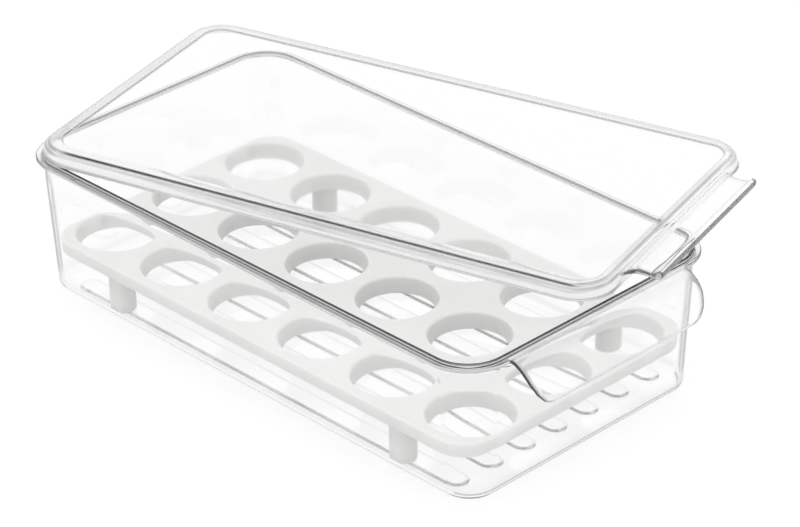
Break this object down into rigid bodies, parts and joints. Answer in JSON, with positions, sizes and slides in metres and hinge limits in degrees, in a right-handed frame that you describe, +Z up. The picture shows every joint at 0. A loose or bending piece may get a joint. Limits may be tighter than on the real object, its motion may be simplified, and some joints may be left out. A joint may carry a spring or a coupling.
{
  "type": "lidded egg keeper",
  "caption": "Clear oblong bin with a pull handle, a white tray of open cups standing in it, and a clear loose lid with a lifting lip, turned a little on the rim.",
  "frame": {"origin": "centre of the bin's underside, on the surface that it stands on", "axes": "+X along the bin to the end with the pull handle, +Y across the bin, +Z up"},
  "size_m": [0.3645, 0.2429, 0.0831],
  "materials": {
    "clear_plastic": "clear, polished",
    "white_plastic": "white, softly glossy",
    "clear_lid_plastic": "clear, polished"
  },
  "bodies": {
    "bin": {"bin": "clear_plastic"},
    "cup_tray": {"cup_tray": "white_plastic"},
    "lid": {"lid": "clear_lid_plastic"}
  },
  "joints": [
    {"name": "lid_turn", "type": "hinge", "parent": "bin", "child": "lid", "pos_m": [-0.14251, -0.04631, 0.0755], "axis": [0, 0, 1], "range_deg": [-16, 15]},
    {"name": "tray_lift", "type": "slide", "parent": "bin", "child": "cup_tray", "axis": [0, 0, 1], "range_m": [0, 0.045]}
  ]
}
